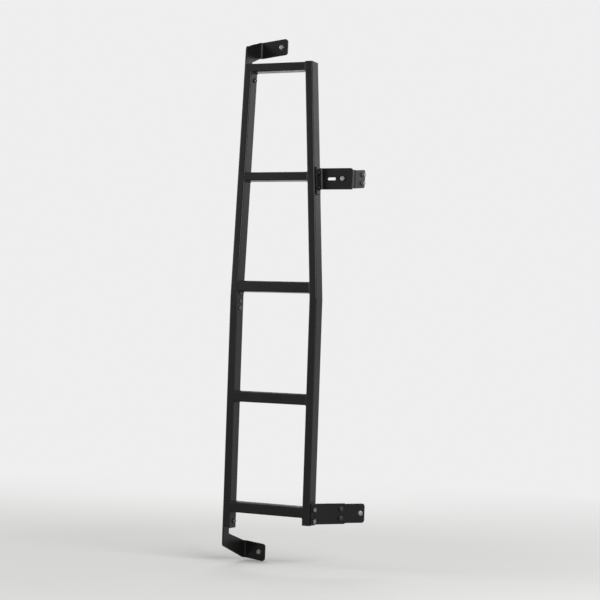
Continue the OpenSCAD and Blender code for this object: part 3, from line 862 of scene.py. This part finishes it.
class LADDER_OT_lap_bolts(bpy.types.Operator):
    """Adds the bolts and nuts that join the lower hinge plate to its arm"""

    bl_idname = "ladder.lap_bolts"
    bl_label = "Lap bolts"

    def execute(self, context):
        axes, places = Axes(), settings().places
        pivot = Vector((axes.outer_w + places.bracket_t + places.fold_r, axes.rail_d - places.lower_fold_in,
                        -places.arm_drop))
        arm = axes.low @ Matrix.Translation(pivot) @ Matrix.Rotation(-places.lower_turn, 4, "Z")
        arm = arm @ Matrix.Translation((-places.fold_r, 0, 0))
        group = BoltGroup()
        for side in (-1, 1):
            y, z = places.lower_arm_l - places.lap_bolt_in, side * places.lap_bolt_pitch / 2
            group.bolt(facing(arm, (0, y, z), "+x"), 2 * places.bracket_t)
            group.nut(facing(arm, (-2 * places.bracket_t, y, z), "-x"))
        group.finish("lap_bolts", black_steel(), black_steel())
        return {"FINISHED"}


class LADDER_OT_splice_screws(bpy.types.Operator):
    """Adds the button-head screws that hold the splice bars in the rails"""

    bl_idname = "ladder.splice_screws"
    bl_label = "Splice screws"

    def execute(self, context):
        axes, places = Axes(), settings().places
        bm = bmesh.new()
        below = LOW_RUNGS * axes.pitch - axes.bend_drop
        for reach in (places.splice_bolt_in, places.splice_bolt_in + places.splice_bolt_pitch):
            add_button(bm, facing(axes.low, (axes.rail_w, axes.mid_y, below - reach), "+x"))
            add_button(bm, facing(axes.upper, (axes.rail_w, axes.mid_y, reach), "+x"))
            inner = axes.outer_w - axes.rail_w
            add_button(bm, facing(axes.low, (inner, axes.mid_y, below - reach), "-x"))
            add_button(bm, facing(axes.right, (-axes.rail_w / 2, axes.mid_y, reach), "-x"))
        finish_piece("splice_screws", bm, grey_steel())
        return {"FINISHED"}


class LADDER_OT_weld_beads(bpy.types.Operator):
    """Adds a weld bead round both ends of every rung"""

    bl_idname = "ladder.weld_beads"
    bl_label = "Weld beads"

    def execute(self, context):
        axes, places = Axes(), settings().places
        upright = Matrix.Rotation(math.radians(90), 4, "Z")
        inner = axes.outer_w - axes.rail_w
        for count in range(RUNGS):
            bm = bmesh.new()
            high = places.lower_rung_h if count < TALL_RUNGS else places.upper_rung_h
            top = places.bead_flush if count == RUNGS - 1 else places.bead
            if count < LOW_RUNGS:
                z = count * axes.pitch
                ends = [facing(axes.low, (axes.rail_w, axes.mid_y, z), "+x"),
                        facing(axes.low, (inner, axes.mid_y, z), "-x")]
            else:
                u = axes.bend_drop + (count - LOW_RUNGS) * axes.pitch
                side = -axes.rail_w / 2
                ends = [facing(axes.upper, (axes.rail_w, axes.mid_y, u), "+x"),
                        facing(axes.right, (side, axes.mid_y, axes.on_right(u, side)), "-x")]
            for end in ends:
                add_bead(bm, end @ upright, places.rung_d, high, top)
            bm.verts.layers.float.remove(bm.verts.layers.float["run"])
            finish_piece(f"rung_{count + 1}_weld", bm, frame_coat())
        return {"FINISHED"}


def seen_by_eye(nodes):
    """Output that is one for camera, glossy and transmission rays."""
    path = nodes.add("LightPath").outputs
    either = nodes.math("MAXIMUM", path["Is Camera Ray"], path["Is Glossy Ray"])
    return nodes.math("MAXIMUM", either, path["Is Transmission Ray"])


def make_floor(stage, lowest):
    """A round pale floor, which turns into the backdrop's own colour far from the ladder."""
    bm = bmesh.new()
    bmesh.ops.create_circle(bm, cap_ends=True, segments=stage.floor_rings, radius=stage.floor_r)
    bmesh.ops.translate(bm, vec=(0, 0, lowest - stage.floor_edge), verts=bm.verts)
    mesh = bpy.data.meshes.new("floor")
    bm.to_mesh(mesh)
    bm.free()
    floor = bpy.data.objects.new("floor", mesh)
    bpy.context.scene.collection.objects.link(floor)
    material, shader, nodes = new_material("floor")
    link = nodes.tree.links.new
    place = nodes.add("TexCoord").outputs["Object"]
    flat = nodes.add("Mapping", {"Vector": place, "Scale": (1, 1, 0)}).outputs[0]
    far = nodes.add("VectorMath", {0: flat}, operation="LENGTH").outputs["Value"]
    mottle = nodes.noise(place, width=0.4, detail=3)
    link(nodes.tones(mottle, stage.pale, dark=0.985, light=1), shader.inputs["Base Color"])
    shader.inputs["Roughness"].default_value = FLOOR_ROUGH
    shader.inputs["Specular IOR Level"].default_value = 0.0
    glow = nodes.add("Emission", {"Color": rgba(stage.backdrop), "Strength": 1.0})
    fade = nodes.math("MULTIPLY", nodes.between(far, *FLOOR_FADE), seen_by_eye(nodes))
    mixed = nodes.add("MixShader", {0: fade, 1: shader.outputs[0], 2: glow.outputs[0]})
    output = next(n for n in nodes.tree.nodes if n.type == "OUTPUT_MATERIAL")
    link(mixed.outputs[0], output.inputs["Surface"])
    floor.data.materials.append(material)


def make_world(stage):
    """A pale backdrop for the eye and for reflections, and a weaker light from all round."""
    world = bpy.data.worlds.new("studio")
    bpy.context.scene.world = world
    world.use_nodes = True
    nodes = Nodes(world.node_tree)
    output = next(n for n in world.node_tree.nodes if n.type == "OUTPUT_WORLD")
    shown = nodes.add("Background", {"Color": rgba(stage.backdrop), "Strength": 1.0})
    light = nodes.add("Background", {"Color": (1, 1, 1, 1), "Strength": stage.ambient})
    mixed = nodes.add("MixShader", {0: seen_by_eye(nodes), 1: light.outputs[0], 2: shown.outputs[0]})
    world.node_tree.links.new(mixed.outputs[0], output.inputs["Surface"])


def make_lamp(name, centre, offset, size, power):
    """A soft lamp of some width and height that looks at the ladder's middle."""
    data = bpy.data.lights.new(name, "AREA")
    data.shape = "RECTANGLE"
    data.size, data.size_y = size
    data.energy = power
    lamp = bpy.data.objects.new(name, data)
    bpy.context.scene.collection.objects.link(lamp)
    lamp.location = centre + Vector(offset)
    lamp.rotation_euler = (-Vector(offset)).to_track_quat("-Z", "Y").to_euler()


def make_camera(stage, centre):
    """The camera, turned and tilted as the stage's settings say."""
    data = bpy.data.cameras.new("camera")
    data.lens = stage.lens
    camera = bpy.data.objects.new("camera", data)
    bpy.context.scene.collection.objects.link(camera)
    level = math.cos(stage.elevation)
    back = Vector((math.sin(stage.azimuth) * level, -math.cos(stage.azimuth) * level, math.sin(stage.elevation)))
    across = Vector((0, 0, 1)).cross(back).normalized()
    rise = back.cross(across)
    c, s = math.cos(stage.roll), math.sin(stage.roll)
    turned = Matrix((across * c + rise * s, rise * c - across * s, back)).transposed().to_4x4()
    camera.matrix_world = Matrix.Translation(centre + back * stage.distance) @ turned
    bpy.context.scene.camera = camera


class LADDER_OT_stage(bpy.types.Operator):
    """Adds the floor, backdrop, lamps and camera"""

    bl_idname = "ladder.stage"
    bl_label = "Studio"

    def execute(self, context):
        stage = settings().stage
        low, high = cad_box
        centre = (low + high) / 2
        make_floor(stage, low.z)
        make_world(stage)
        for name, offset, size in LAMPS:
            make_lamp(name, centre, offset, size, getattr(stage, name))
        make_camera(stage, centre)
        scene = context.scene
        scene.view_settings.view_transform = "Standard"
        return {"FINISHED"}


class LADDER_PT_panel(bpy.types.Panel):
    """Lists the ladder's steps and its settings"""

    bl_idname = "LADDER_PT_panel"
    bl_label = "Van Ladder"
    bl_space_type = "VIEW_3D"
    bl_region_type = "UI"
    bl_category = "Ladder"

    def draw(self, context):
        layout = self.layout
        for step in STEPS:
            layout.operator(step.bl_idname)
        for group in (context.scene.ladder.bolts, context.scene.ladder.places, context.scene.ladder.finish,
                      context.scene.ladder.stage):
            box = layout.box()
            for key in group.bl_rna.properties.keys():
                if key not in ("rna_type", "name"):
                    box.prop(group, key)


STEPS = (LADDER_OT_finishes, LADDER_OT_mount_bolts, LADDER_OT_strap_screws, LADDER_OT_bracket_bolts,
         LADDER_OT_slot_bolt, LADDER_OT_lap_bolts, LADDER_OT_splice_screws, LADDER_OT_weld_beads, LADDER_OT_stage)
CLASSES = (LadderBoltSizes, LadderPlaces, LadderFinish, LadderStage, LadderSettings, *STEPS, LADDER_PT_panel)


def register():
    """Registers the classes and the ladder's settings."""
    for kind in CLASSES:
        bpy.utils.register_class(kind)
    bpy.types.Scene.ladder = PointerProperty(type=LadderSettings)


def unregister():
    """Removes the settings and the classes."""
    del bpy.types.Scene.ladder
    for kind in reversed(CLASSES):
        bpy.utils.unregister_class(kind)


def main():
    """Dresses the ladder."""
    register()
    for step in STEPS:
        group, name = step.bl_idname.split(".")
        getattr(getattr(bpy.ops, group), name)()


if __name__ == "__main__":
    main()
